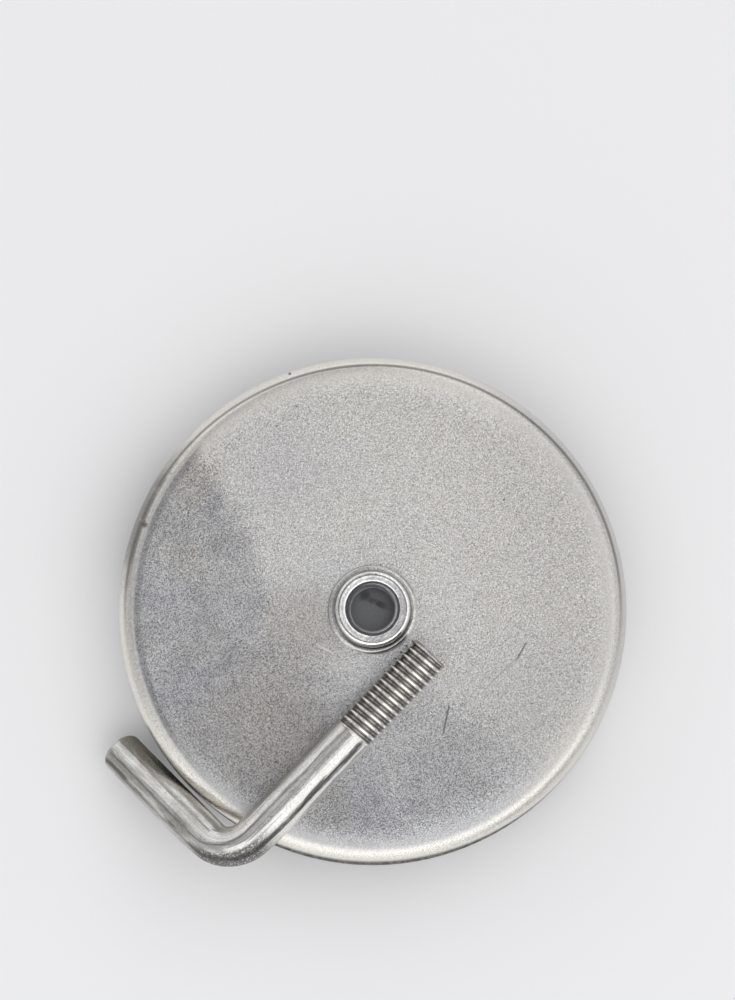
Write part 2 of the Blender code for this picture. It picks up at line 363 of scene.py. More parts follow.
potCup = dict(
    facets=192,
    sheet=1.8 * mm,
    corner=2.0 * mm,
    cornerSteps=12,
    innerCorner=0.8 * mm,
    innerSteps=6,
    rimBreak=0.3 * mm,
    hole=4.1 * mm,
    holeBreak=0.2 * mm,
    breakSteps=3,
    backRings=12,           # loops on the back between the corner and the hole
    rollStart=24.0 * mm,    # from this radius outwards the back falls away softly
    rollDrop=0.3 * mm,
    rollFacing=0.02,        # what looks up less than this keeps its place
    dent=0.018 * mm,
    dentSize=9.0 * mm,
    dentSeed=2.0,
    dentStart=1.4,          # hole radii from the middle
    smoothAngle=radians(35),

    fineGrain=(0.10 * mm, 0.0, 0.5, 1.6),
    coarseGrain=(0.6 * mm, 3.0, 0.6),
    clouds=(11 * mm, 4.0, 0.62, 0.4),
    patches=(3 * mm, 5.0, 0.65, 0.7),
    tints=(8 * mm, 3.0, 0.55),
    ripples=(3.5 * mm, 2.0),
    drawLines=(0.05, 0.5 * mm, 3.0),

    # the stain covers the side of the bend, with a clear edge above and a soft one below
    stainStart=(-8.7 * mm, -3.4 * mm),      # a point on its edge, and the way into it, both right and up
    stainWay=(-0.894, -0.447),
    edgeRagged=3 * mm,
    edgeWander=4 * mm,
    clearAbove=(-6 * mm, 3 * mm),
    clearEdge=(-1.2 * mm, 2.0 * mm),
    clearFade=(-5 * mm, 5 * mm),
    clearShare=0.7,
    softEdge=(-6 * mm, 5 * mm),
    softWander=12 * mm,
    stainEnd=(28.0 * mm, 28.4 * mm),
    lowStainEnd=(25 * mm, 28 * mm),
    stainRim=(27.2 * mm, 27.6 * mm, 28.0 * mm, 28.4 * mm),
    stainEven=0.52,
    stainPatchy=1.1,
    stainCloudy=0.5,
    tintEdge=(0.4, 0.6),
    foot=(7, -22, 2, 15),   # a second, weaker stain at the foot of the back
    footWander=14 * mm,
    footShare=0.85,
    footEnd=(24 * mm, 28 * mm),
    lowSide=(-24 * mm, -12 * mm),

    # the back and its corner are painted brighter outwards, less on the right: a painted highlight that
    # stands for reflections
    paintedHighlightEdge=(24.8 * mm, 27.6 * mm),
    lowShift=2.0 * mm,
    edgeShare=0.6,
    cornerAt=(28.0 * mm, 28.8 * mm),
    cornerShare=0.95,
    rightSide=(8 * mm, 24 * mm),
    rightAbove=(-18 * mm, -4 * mm),
    rightEdgeLoss=0.85,
    rightCornerLoss=0.75,
    warmWay=(0.6, 0.5),     # up and right
    warmWander=40 * mm,
    warmEdge=(-12 * mm, 8 * mm),
    shadeRight=(6 * mm, 26 * mm),
    shadeLow=(-16 * mm, 4 * mm),
    shade=0.10,
    shadeCorner=1.5,

    # spots are (right, up, full to, gone at) in mm
    warmSpot=(-11, -13, 3, 13),
    rimSpot=(-27.5, 12, 4, 11),
    rimSpotAt=(28.6 * mm, 29.0 * mm),
    rimSpotRagged=2,
    rimSpotPatchy=(0.15, 0.4),
    blueSpot=(-10, 16.5, 2, 8),
    brownSpots=((-8, -1.5, 7.0, 0.65), (-21.3, 15.5, 4.5, 0.5), (-22.3, 6.2, 3.5, 0.4)),    # gone at, share
    brownCore=0.15,         # of their size, full to there
    brownRagged=0.6,

    # a thin dark line is painted on the corner's upper half, a painted reflection, further in at the top
    # and a little on the left
    paintedReflectionBand=(29.10 * mm, 29.22 * mm, 29.40 * mm, 29.54 * mm),
    bandInLeft=0.07 * mm,
    bandRight=(-14 * mm, 8 * mm),
    bandInTop=0.4 * mm,
    bandTop=(14 * mm, 34 * mm),
    bandAbove=(-6 * mm, 8 * mm),
    bandPatchy=(0.1, 0.4),

    grainOnPlain=0.68,      # the grain shows more where the back is dull
    grainOnStain=1.1,
    grainOnFoot=0.3,
    grainFade=(25.5 * mm, 28.5 * mm),
    grainFadeShare=0.75,
    fineShare=5.5,
    coarseShare=0.35,
    grainLimits=(0.2, 1.6),
    pitGrain=(0.5 * mm, 0.0),
    pitEdge=(0.80, 0.84),
    pitAreas=(5 * mm, 1.0),
    pitAreaEdge=(0.5, 0.65),
    scratches=((3.6 * mm, radians(12), 0.05 * mm), (4.4 * mm, radians(97), 0.05 * mm),
               (5.2 * mm, radians(52), 0.06 * mm, 9.0)),    # spacing, turn, width, stretch
    # right, up, end right, end up, width, strength
    nickLines=((18.2, -3.7, 16.7, -6.4, 0.13, 1), (9.05, -11.1, 8.15, -15.2, 0.15, 1),
               (17.0, -5.6, 12.6, -10.0, 0.10, 0.4), (14.9, -4.4, 17.0, -2.4, 0.06, 0.6)),
    # right, up, full to, gone at, raggedness, strength
    nickSpots=((15.5, 13.0, 0.10, 0.20, 0, 1), (-26.9, 10.1, 0.15, 0.5, 1, 2),
               (-9.8, 28.0, 0.10, 0.22, 0, 2)),
    nickGrain=(0.3, 0.45),

    # painted shade: the wall is painted darker, and dark and dull on the low side, streaked upright by the
    # drawing
    wallAt=(29.4 * mm, 29.6 * mm),
    wallEdge=(-0.4 * mm, 0.3 * mm),
    wallClimb=0.9 * mm,     # it reaches further up the corner on the low side
    wallClimbLow=(18 * mm, 30 * mm),
    wallShade=0.34,
    wallStreaks=0.4,
    wallShadeLow=(6 * mm, 26 * mm),
    wallShadeShare=1.35,
    darkStreaks=1.8,
    streakMiddle=0.55,
    streakEdge=(0.3, 0.7),
    wallShadeCover=0.93,
    darkRoughness=0.6,
    darkSpecular=0.1,

    colours=dict(
        plainCool=(0.60, 0.602, 0.614),
        plainWarm=(0.632, 0.616, 0.592),
        stainWarm=(0.305, 0.298, 0.285),
        stainCool=(0.295, 0.292, 0.312),
        brown=(0.44, 0.41, 0.37),
        wallDark=(0.02, 0.019, 0.017),
        wallPale=(0.15, 0.146, 0.135),
    ),
    coats=dict(
        warmSpot=(0.5, (0.43, 0.40, 0.36)),
        blueSpot=(0.4, (0.52, 0.512, 0.54)),
        stainRim=(0.5, (0.22, 0.22, 0.225)),
        # painted highlight on the back's outer zone and corner
        paintedRimSheen=(1.0, (0.81, 0.785, 0.73)),
        rimSpot=(0.9, (0.24, 0.235, 0.22)),
        # painted reflection: the thin dark line on the corner
        paintedReflectionBand=(0.72, (0.20, 0.195, 0.18)),
        pits=(0.8, (0.08, 0.075, 0.07)),
        scratches=(0.4, (0.88, 0.875, 0.86)),
        nicks=(0.85, (0.14, 0.135, 0.13)),
    ),
    roughness=dict(plain=0.38, stain=0.08, grain=0.12, corner=-0.18, scratches=0.1),
    rippleDepth=0.03 * mm,
    grainDepth=0.022 * mm,
    fineDepthShare=0.6,
    scratchDepth=0.012 * mm,
)


def potNickel():
    p = potCup
    colours, coats, rough = p["colours"], p["coats"], p["roughness"]
    mix = recipe("pot_nickel")
    radius = mix.axisDistance()
    height = mix.part(mix.place, "Z")
    upward = mix.along(stagePoint(0, 1, 0))
    rightward = mix.along(stagePoint(1, 0, 0))
    fine = mix.grain(*p["fineGrain"])
    coarse = mix.grain(*p["coarseGrain"])
    cloud = mix.grain(*p["clouds"])
    patch = mix.grain(*p["patches"])
    tint = mix.grain(*p["tints"])
    lines = mix.drawn(*p["drawLines"])
    ragged = patch.swing(p["edgeRagged"]) + cloud.swing(p["edgeWander"])

    beyond = mix.along(stagePoint(*p["stainWay"], 0), stagePoint(*p["stainStart"], 0)) + ragged
    lower = upward.fall(*p["clearAbove"])
    clear = beyond.rise(*p["clearEdge"]) * p["clearShare"]
    clear = (clear + beyond.rise(*p["clearFade"]) * (1 - p["clearShare"])) * (1 - lower)
    soft = (beyond + cloud.swing(p["softWander"])).rise(*p["softEdge"]) * lower
    left = clear + soft
    lowSide = upward.fall(*p["lowSide"])
    foot = mix.spot(p["foot"], ragged + cloud.swing(p["footWander"]))
    stain = (left * radius.fall(*p["stainEnd"])).most(foot * p["footShare"] * radius.fall(*p["footEnd"]))
    stain = stain * (1 - radius.rise(*p["lowStainEnd"]) * lowSide)
    stainShare = p["stainEven"] + patch.swing(p["stainPatchy"]) + cloud.swing(p["stainCloudy"])

    rightSide = rightward.rise(*p["rightSide"]) * upward.rise(*p["rightAbove"])
    # painted highlight: the back's outer zone and its corner are painted brighter
    edge = (radius - lowSide * p["lowShift"]).rise(*p["paintedHighlightEdge"])
    edge = edge * (1 - stain) * (1 - rightSide * p["rightEdgeLoss"])
    corner = radius.rise(*p["cornerAt"])
    paintedRimSheen = (edge * p["edgeShare"]).most(corner * (p["cornerShare"] - rightSide * p["rightCornerLoss"]))
    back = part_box("pot")[1].z
    wallTop = (0 - upward).rise(*p["wallClimbLow"]) * p["wallClimb"] + (back - p["corner"])
    wall = radius.rise(*p["wallAt"]) * (height - wallTop).fall(*p["wallEdge"])

    # plain nickel, the stain and its spots
    warmer = upward * p["warmWay"][0] + rightward * p["warmWay"][1] + tint.swing(p["warmWander"])
    plain = mix.blend(warmer.rise(*p["warmEdge"]), colours["plainCool"], colours["plainWarm"])
    stained = mix.blend(tint.rise(*p["tintEdge"]), colours["stainWarm"], colours["stainCool"])
    colour = mix.blend(stain * stainShare, plain, stained)
    colour = mix.lay(colour, mix.spot(p["warmSpot"], ragged) * soft, coats["warmSpot"])
    colour = mix.lay(colour, mix.spot(p["blueSpot"], ragged), coats["blueSpot"])
    for right, up, reach, share in p["brownSpots"]:
        brown = mix.spot((right, up, p["brownCore"] * reach, reach), ragged * p["brownRagged"])
        colour = mix.blend(brown * share, colour, colours["brown"])
    colour = mix.lay(colour, left * radius.between(*p["stainRim"]) * (1 - lowSide), coats["stainRim"])
    # the painted highlight is laid on the back's outer zone and corner
    colour = mix.lay(colour, paintedRimSheen, coats["paintedRimSheen"])
    rimSpot = mix.spot(p["rimSpot"], ragged * p["rimSpotRagged"]) * radius.rise(*p["rimSpotAt"])
    colour = mix.lay(colour, rimSpot * patch.rise(*p["rimSpotPatchy"]), coats["rimSpot"])

    # the grain, and the shade of the low side and the right
    depth = p["grainOnPlain"] + stain * p["grainOnStain"] + foot * p["grainOnFoot"]
    depth = depth * (1 - radius.rise(*p["grainFade"]) * p["grainFadeShare"])
    grit = (fine.swing(p["fineShare"]) + coarse.swing(p["coarseShare"])) * depth
    grit = (1 + grit).most(p["grainLimits"][0]).least(p["grainLimits"][1])
    shadeLow = upward.fall(*p["shadeLow"]) * p["shade"] * (1 - corner * p["shadeCorner"])
    shade = 1 - rightward.rise(*p["shadeRight"]) * p["shade"] - shadeLow
    # painted shade: the wall is painted darker all round
    colour = mix.scaled(colour, 1 - wall * (p["wallShade"] - lines * p["wallStreaks"]))
    colour = mix.scaled(colour, grit * shade)

    # the painted reflection line on the corner, pits, scratches and nicks
    bandLeft = rightward.fall(*p["bandRight"]) * p["bandInLeft"]
    bandAt = radius + bandLeft + upward.rise(*p["bandTop"]) * p["bandInTop"]
    paintedReflectionBand = bandAt.between(*p["paintedReflectionBand"]) * upward.rise(*p["bandAbove"]) * patch.rise(*p["bandPatchy"])
    colour = mix.lay(colour, paintedReflectionBand, coats["paintedReflectionBand"])
    pits = mix.grain(*p["pitGrain"]).rise(*p["pitEdge"]) * mix.grain(*p["pitAreas"]).rise(*p["pitAreaEdge"])
    colour = mix.lay(colour, pits, coats["pits"])
    marks = mix.mostOf(mix.scratches(*sizes) for sizes in p["scratches"]) * (1 - corner)
    colour = mix.lay(colour, marks, coats["scratches"])
    nicks = [mix.stroke(*line) * strength for *line, strength in p["nickLines"]]
    for *place, wander, strength in p["nickSpots"]:
        nicks.append(mix.spot(place, fine.swing(wander * mm)) * strength)
    colour = mix.lay(colour, mix.mostOf(nicks) * fine.rise(*p["nickGrain"]), coats["nicks"])

    roughness = rough["plain"] + stain * rough["stain"] + coarse.swing(rough["grain"])
    roughness = roughness + corner * rough["corner"] + marks * rough["scratches"]
    normal = mix.bump(mix.grain(*p["ripples"]), p["rippleDepth"])
    normal = mix.bump(fine.swing(p["fineDepthShare"]) + (coarse - 0.5), p["grainDepth"], normal)
    normal = mix.bump(1 - marks - pits, p["scratchDepth"], normal)
    # painted shade: a dark, dull overlay covers the wall's low side
    streaks = (lines - p["streakMiddle"]) * p["darkStreaks"]
    dark = wall * ((0 - upward).rise(*p["wallShadeLow"]) * p["wallShadeShare"] + streaks).most(0).least(1)
    dull = mix.blend(lines.rise(*p["streakEdge"]), colours["wallDark"], colours["wallPale"])
    return mix.done({"Base Color": colour, "Metallic": 1.0, "Roughness": roughness, "Normal": normal},
                    dark * p["wallShadeCover"],
                    {"Base Color": dull, "Roughness": p["darkRoughness"],
                     "Specular IOR Level": p["darkSpecular"]})


def makePotShell():
    p = potCup
    low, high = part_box("pot")
    radius, height = high.x, high.z
    inside, ceiling = radius - p["sheet"], height - p["sheet"]

    putDownAll()
    bpy.ops.mesh.primitive_cylinder_add(vertices=p["facets"], radius=radius, depth=height,
                                        location=(0, 0, height / 2))
    shell = nameNew("pot_shell")
    bpy.ops.object.mode_set(mode="EDIT")
    roundRing(radius, height, p["corner"], p["cornerSteps"])

    pick("FACE", capFacing(-1, low.z))   # hollow it from below
    bpy.ops.mesh.inset(thickness=p["sheet"])
    bpy.ops.mesh.extrude_region_move(TRANSFORM_OT_translate={"value": (0, 0, ceiling - low.z)})
    bpy.ops.mesh.inset(thickness=inside - p["hole"])

    pick("FACE", capFacing(1, height))   # loops on the back, then the hole
    step = (radius - p["corner"] - p["hole"]) / p["backRings"]
    for ring in range(p["backRings"]):
        bpy.ops.mesh.inset(thickness=step)
    pick("FACE", lambda face: capFacing(1, height)(face) or capFacing(-1, ceiling)(face))
    bpy.ops.mesh.bridge_edge_loops()

    roundRing(inside, ceiling, p["innerCorner"], p["innerSteps"])
    roundRing(radius, low.z, p["rimBreak"], p["breakSteps"])
    roundRing(inside, low.z, p["rimBreak"], p["breakSteps"])
    roundRing(p["hole"], height, p["holeBreak"], p["breakSteps"])
    roundRing(p["hole"], ceiling, p["holeBreak"], p["breakSteps"])
    bpy.ops.object.mode_set(mode="OBJECT")

    # the drawn back falls away softly before the corner, and has shallow dents
    for vertex in shell.data.vertices:
        r = hypot(vertex.co.x, vertex.co.y)
        if vertex.normal.z > p["rollFacing"] and vertex.co.z > height - p["sheet"] - p["corner"]:
            out = max(0.0, (r - p["rollStart"]) / (radius - p["rollStart"]))
            hollow = 0.5 + 0.5 * waves(vertex.co, p["dentSize"], p["dentSeed"])
            beyond = clamped(r / p["hole"] - p["dentStart"])
            vertex.co.z -= p["rollDrop"] * out ** 2 + p["dent"] * hollow * beyond
    finishPiece(shell, "magnet_body", "pot", potNickel(), p["smoothAngle"])


# Bush: turned steel, pressed into the pot's hole and swaged under the sheet, with an M6 x 1 thread.

bushPart = dict(
    facets=128,
    bore=2.6 * mm,
    mouth=3.2 * mm,
    boss=4.4 * mm,
    collar=5.3 * mm,
    neck=3.8 * mm,
    lip=4.7 * mm,
    boreStart=1.2 * mm,     # below the top
    sinkAt=(2.8 * mm, 0.9 * mm),    # the countersink's corner: radius, and depth below the top
    mouthTaper=(0.06 * mm, 0.35 * mm),
    beadWidth=0.55 * mm,    # rolled edge round the top
    beadRise=0.05 * mm,
    beadSlope=0.12 * mm,
    footWidth=0.28 * mm,    # the hollow at the boss's foot
    footRise=0.35 * mm,
    collarTop=0.8 * mm,     # above the pot's back
    collarSlope=(0.05 * mm, 0.22 * mm),
    lipHeight=0.8 * mm,
    pitch=1.0 * mm,
    threadDepth=0.42 * mm,
    tapInset=0.02 * mm,     # the thread's space starts this much inside the bore's wall
    threadSteps=72,
    threadForm=((0.0, 0.0), (0.2, 0.0), (0.5, 1.0), (0.68, 1.0), (1.0, 0.0)),    # shares of pitch and depth
    threadBeyond=(1.2, 0.8),        # pitches past the bush's top and its end
    threadLead=1.3,                 # pitches that are cut off the wound blank
    spareTurns=3,
    smoothAngle=radians(30),

    fineGrain=(0.22 * mm, 2.0, 0.6),
    clouds=(1.3 * mm, 3.0, 0.65),
    cloudEdge=(0.35, 0.65),
    turningLines=0.09 * mm,
    # rings of the finish, and of painted light and shade, by radius
    lowWay=(-0.3, 1),       # right and up; low is the other way
    grooveShade=(4.42 * mm, 4.5 * mm, 4.7 * mm, 4.95 * mm),
    grooveLow=(0.5 * mm, 3.5 * mm),
    seam=(3.88 * mm, 3.96 * mm, 4.02 * mm, 4.1 * mm),
    outerRing=(4.02 * mm, 4.12 * mm),
    innerRing=(3.34 * mm, 3.42 * mm),
    boreWall=(3.10 * mm, 3.18 * mm),
    crest=(2.72 * mm, 2.77 * mm, 2.86 * mm, 2.91 * mm),
    crestLow=(-1.2 * mm, 1.2 * mm),
    crestShare=0.12,
    topZone=(-0.4 * mm, -0.3 * mm),         # from the bush's top
    collarZone=(-0.7 * mm, -0.6 * mm),
    # painted glint on the collar's rim, on the low side
    paintedRimGlint=(5.12 * mm, 5.18 * mm),
    paintedRimGlintLow=(-1.5 * mm, 1.5 * mm),
    grooveShadeShare=0.85,
    seamDirt=0.7,
    dirtEdge=(0.2, 0.5),
    grainShare=1.1,
    colours=dict(pale=(0.78, 0.775, 0.76), dull=(0.62, 0.615, 0.61)),
    coats=dict(
        collar=(0.5, (0.55, 0.545, 0.53)),
        # painted highlight on the top's rounded edges
        ring=(1.0, (0.97, 0.965, 0.955)),
        paintedRimGlint=(0.9, (0.93, 0.92, 0.90)),
        # dirt, and painted shade in the groove
        dirtAndShade=(1.0, (0.12, 0.11, 0.10)),
        inside=(0.92, (0.34, 0.34, 0.355)),
        crest=(0.8, (0.8, 0.79, 0.78)),
    ),
    roughness=dict(plain=0.22, clouds=0.16, inside=0.25, ring=-0.1),
    lineDepth=0.010 * mm,
    fineDepthShare=0.8,
    cloudDepth=0.08 * mm,
)


def bushNickel():
    p = bushPart
    coats, rough = p["coats"], p["roughness"]
    mix = recipe("bush_nickel")
    radius = mix.axisDistance()
    above = mix.part(mix.place, "Z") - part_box("threaded_bush")[1].z
    below = 0 - mix.along(stagePoint(*p["lowWay"], 0))
    fine = mix.grain(*p["fineGrain"])
    cloud = mix.grain(*p["clouds"])
    turning = mix.add("ShaderNodeTexNoise", {"noise_dimensions": "1D"},
                      {"W": radius, "Scale": 1 / p["turningLines"], "Detail": 2.0})

    top = above.rise(*p["topZone"])
    # painted shade in the groove at the boss's foot, on the low side only, laid with the dark seam's dirt
    grooveShade = radius.between(*p["grooveShade"]) * below.rise(*p["grooveLow"])
    seam = radius.between(*p["seam"]) * top
    # painted highlight: the rounded top edge and the countersink's rim are painted near white
    ring = radius.rise(*p["outerRing"]).most(radius.fall(*p["innerRing"])) * top
    # painted shade: the bore's wall is painted darker
    inside = radius.fall(*p["boreWall"])
    # painted glint on the thread's crest in the bore, mostly on the low side
    crest = p["crestShare"] + (1 - p["crestShare"]) * below.rise(*p["crestLow"])
    crest = radius.between(*p["crest"]) * crest
    shares = dict(
        collar=above.fall(*p["collarZone"]),
        ring=ring,
        # painted glint on the collar's rim, on the low side
        paintedRimGlint=radius.rise(*p["paintedRimGlint"]) * below.rise(*p["paintedRimGlintLow"]),
        dirtAndShade=(grooveShade * p["grooveShadeShare"]).most(seam * p["seamDirt"]) * cloud.rise(*p["dirtEdge"]),
        inside=inside,
        crest=inside * crest,
    )
    colour = mix.blend(cloud.rise(*p["cloudEdge"]), p["colours"]["pale"], p["colours"]["dull"])
    for name, share in shares.items():
        colour = mix.lay(colour, share, coats[name])
    colour = mix.scaled(colour, 1 + fine.swing(p["grainShare"]))

    roughness = rough["plain"] + cloud.swing(rough["clouds"])
    roughness = roughness + inside * rough["inside"] + ring * rough["ring"]
    normal = mix.bump(turning + fine.swing(p["fineDepthShare"]), p["lineDepth"])
    normal = mix.bump(cloud, p["cloudDepth"], normal)
    return mix.done({"Base Color": colour, "Metallic": 1.0, "Roughness": roughness, "Normal": normal})


def makeTap(top, bottom):
    # the thread's space: a V wound round the axis, cut off level at both ends
    p = bushPart
    pitch, depth = p["pitch"], p["threadDepth"]
    tap = startVertex("tap", p["bore"] - p["tapInset"], 0)
    for (back, low), (forth, high) in zip(p["threadForm"], p["threadForm"][1:]):
        drawOn((high - low) * depth, (forth - back) * pitch)
    bpy.ops.object.mode_set(mode="OBJECT")
    wind(tap, pitch, int((top - bottom) / pitch) + p["spareTurns"], p["threadSteps"])
    bpy.ops.object.mode_set(mode="EDIT")
    bpy.ops.mesh.select_all(action="SELECT")
    bpy.ops.transform.translate(value=(0, 0, bottom - p["threadLead"] * pitch))
    cutLevel(bottom, True)
    cutLevel(top, False)
    bpy.ops.mesh.select_all(action="SELECT")
    bpy.ops.mesh.normals_make_consistent(inside=False)
    bpy.ops.object.mode_set(mode="OBJECT")
    return tap


def makeTurnedBush():
    p = bushPart
    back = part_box("pot")[1].z
    ceiling = back - potCup["sheet"]
    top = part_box("threaded_bush")[1].z
    end = ceiling - p["lipHeight"]
    beadFoot = top - p["beadRise"]
    beadIn = p["boss"] - p["beadWidth"]
    sinkRadius, sinkDepth = p["sinkAt"]
    taperIn, taperDown = p["mouthTaper"]
    slopeTop, slopeEnd = p["collarSlope"]
    corners = [             # radius, height and rounding, from the bore's top outwards and down
        (p["bore"], top - p["boreStart"], 0),
        (sinkRadius, top - sinkDepth, 0.08 * mm),
        (p["mouth"] - taperIn, beadFoot - taperDown, 0.05 * mm),
        (p["mouth"], beadFoot, 0.16 * mm),
        (beadIn - p["beadSlope"], beadFoot, 0.05 * mm),
        (beadIn, top, 0.05 * mm),
        (p["boss"], top, 0.34 * mm),
        (p["boss"], back + p["footRise"], 0.15 * mm),
        (p["boss"] + p["footWidth"], back + p["collarTop"] - slopeTop, 0.25 * mm),
        (p["collar"], back + p["collarTop"] - slopeEnd, 0.34 * mm),
        (p["collar"], back, 0.06 * mm),
        (p["neck"], back, 0),
        (p["neck"], ceiling, 0.1 * mm),
        (p["lip"], ceiling, 0.15 * mm),
        (p["lip"], end, 0.12 * mm),
        (p["bore"], end, 0.15 * mm),
    ]
    bush = drawOutline("turned_bush", corners)
    turnOutline(p["facets"])
    over, under = p["threadBeyond"]
    tap = makeTap(top + over * p["pitch"], end - under * p["pitch"])
    cut = bush.modifiers.new("thread", "BOOLEAN")
    cut.operation = "DIFFERENCE"
    cut.solver = "EXACT"
    cut.object = tap
    takeUp(bush)
    bpy.ops.object.modifier_apply(modifier=cut.name)
    bpy.data.objects.remove(tap)
    finishPiece(bush, "magnet_body", "threaded_bush", bushNickel(), p["smoothAngle"])


# Ferrite disc: sintered, ground flat on the contact side, its edges a little chipped.

ferriteDisc = dict(
    facets=256,
    edgeBreak=0.5 * mm,
    edgeSteps=(3, 2),       # at the contact face and at the back
    faceRings=(0.6 * mm, 0.06 * mm, 5.0 * mm),    # the second one holds the flat face flat beside the chips
    smoothAngle=radians(25),
    chipDepth=0.24 * mm,
    chipSize=1.6 * mm,
    chipSeed=4.0,
    chipReach=(0.9 * mm, 1.0 * mm),     # inwards and upwards from the edge
    chipLimit=0.12,
    chipShare=3,
    chipRise=0.7,

    fineGrain=(0.12 * mm, 3.0, 0.65),
    clouds=(7 * mm, 4.0, 0.6),
    grinding=(0.25 * mm, 3.0),
    grindTurn=radians(34),
    grindStretch=0.04,
    # its back is lighter, with a violet side, a darker blot and a darker line, which show at the bottom of
    # the bore
    backFaceZone=(-0.1 * mm, -0.05 * mm),      # from the disc's top
    wobbles=(1.2 * mm, 2.0),
    wobbleReach=1.2 * mm,
    violetStart=(0.2 * mm, 1.0 * mm),
    violetWay=(0.5, 0.86),
    violetEdge=(-0.3 * mm, 0.3 * mm),
    blotSpot=(-0.9, 1.9, 0.2, 0.9),
    blotLine=(-1.6, 1.9, 2.0, 0.3, 0.5),
    blotEdge=(-0.35 * mm, 0.1 * mm),
    fleckEdge=(0.62, 0.75),
    colours=dict(dark=(0.040, 0.041, 0.044), light=(0.068, 0.068, 0.070)),
    coats=dict(
        backFace=(1.0, (0.14, 0.148, 0.158)),
        violet=(0.7, (0.105, 0.096, 0.116)),
        blot=(0.85, (0.03, 0.03, 0.032)),
        flecks=(0.6, (0.13, 0.13, 0.135)),
    ),
    roughness=dict(plain=0.42, grain=0.25, clouds=0.1, backFace=-0.12, blot=0.3),
    lineShare=0.7,
    fineDepthShare=0.6,
    grainDepth=0.010 * mm,
    ior=2.2,
)


def ferriteGrey():
    p = ferriteDisc
    coats, rough = p["coats"], p["roughness"]
    mix = recipe("ferrite")
    fine = mix.grain(*p["fineGrain"])
    cloud = mix.grain(*p["clouds"])
    turned = mix.moved(mix.place, rotation=(0, 0, p["grindTurn"]), scale=(p["grindStretch"], 1, 1))
    ground = mix.grain(*p["grinding"], place=turned)
    wobble = mix.grain(*p["wobbles"]).swing(p["wobbleReach"])
    backFace = (mix.part(mix.place, "Z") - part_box("magnet")[1].z).rise(*p["backFaceZone"])
    over = mix.along(stagePoint(*p["violetWay"], 0), stagePoint(*p["violetStart"], 0)) + wobble
    blot = mix.spot(p["blotSpot"], wobble).most(mix.stroke(*p["blotLine"]) * wobble.rise(*p["blotEdge"]))

    colour = mix.blend(cloud, p["colours"]["dark"], p["colours"]["light"])
    colour = mix.lay(colour, backFace, coats["backFace"])
    colour = mix.lay(colour, backFace * over.rise(*p["violetEdge"]), coats["violet"])
    colour = mix.lay(colour, backFace * blot, coats["blot"])
    colour = mix.lay(colour, fine.rise(*p["fleckEdge"]), coats["flecks"])
    roughness = rough["plain"] + fine.swing(rough["grain"]) + cloud.swing(rough["clouds"])
    roughness = roughness + backFace * (blot * rough["blot"] + rough["backFace"])
    normal = mix.bump(ground * p["lineShare"] + fine * p["fineDepthShare"], p["grainDepth"])
    return mix.done({"Base Color": colour, "Roughness": roughness, "IOR": p["ior"], "Normal": normal})


def makeFerriteDisc():
    p = ferriteDisc
    low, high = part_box("magnet")
    putDownAll()
    bpy.ops.mesh.primitive_cylinder_add(vertices=p["facets"], radius=high.x, depth=high.z - low.z,
                                        location=(0, 0, (low.z + high.z) / 2))
    disc = nameNew("ferrite_disc")
    bpy.ops.object.mode_set(mode="EDIT")
    for height, side, steps in zip((low.z, high.z), (-1, 1), p["edgeSteps"]):
        roundRing(high.x, height, p["edgeBreak"], steps)
    for height, side in ((low.z, -1), (high.z, 1)):
        pick("FACE", capFacing(side, height))
        for width in p["faceRings"]:
            bpy.ops.mesh.inset(thickness=width)
    bpy.ops.object.mode_set(mode="OBJECT")
    reachIn, reachUp = p["chipReach"]
    for vertex in disc.data.vertices:
        flat = Vector((vertex.co.x, vertex.co.y, 0))
        nearEdge = max(0.0, 1 - (high.x - flat.length) / reachIn)
        nearFace = max(0.0, 1 - (vertex.co.z - low.z) / reachUp)
        chip = max(0.0, waves(vertex.co, p["chipSize"], p["chipSeed"]) - p["chipLimit"])
        chip = chip * p["chipDepth"] * nearEdge * nearFace * p["chipShare"]
        vertex.co -= flat.normalized() * chip
        vertex.co.z += chip * p["chipRise"]
    finishPiece(disc, "magnet_body", "magnet", ferriteGrey(), p["smoothAngle"])


# Resin: poured round the disc and behind it, its open face sagged and a little uneven.

resinFill = dict(
    facets=192,
    hole=5.0 * mm,
    climb=0.22 * mm,        # it climbs the steel and the ferrite by this
    sag=0.2,                # of the climb, towards the steel
    faceRound=0.1 * mm,
    level=0.04 * mm,
    levelSize=6.0 * mm,
    levelSeed=9.0,
    levelInset=0.05 * mm,
    smoothAngle=radians(50),

    bubbleSpacing=1.3 * mm,
    bubbleEdge=(0.10, 0.22),
    bubbleAreas=(2.2 * mm, 0.0),
    bubbleAreaEdge=(0.52, 0.6),
    clouds=(3 * mm, 3.0),
    cloudShare=0.3,
    colours=dict(dark=(0.055, 0.047, 0.036), light=(0.11, 0.092, 0.066)),
    coats=dict(bubbles=(0.6, (0.02, 0.018, 0.015))),
    roughness=dict(plain=0.26, clouds=0.16),
    bubbleDepth=0.06 * mm,
    coat=0.3,
)


def resinBlack():
    p = resinFill
    mix = recipe("bonding_resin")
    bubbles = mix.add("ShaderNodeTexVoronoi", {}, {"Vector": mix.place, "Scale": 1 / p["bubbleSpacing"]},
                      "Distance")
    dimple = bubbles.fall(*p["bubbleEdge"]) * mix.grain(*p["bubbleAreas"]).rise(*p["bubbleAreaEdge"])
    cloud = mix.grain(*p["clouds"])
    colour = mix.blend(cloud, p["colours"]["dark"], p["colours"]["light"])
    colour = mix.lay(colour, dimple, p["coats"]["bubbles"])
    roughness = p["roughness"]["plain"] + cloud * p["roughness"]["clouds"]
    normal = mix.bump(cloud * p["cloudShare"] - dimple, p["bubbleDepth"])
    return mix.done({"Base Color": colour, "Roughness": roughness, "Normal": normal,
                     "Coat Weight": p["coat"]})


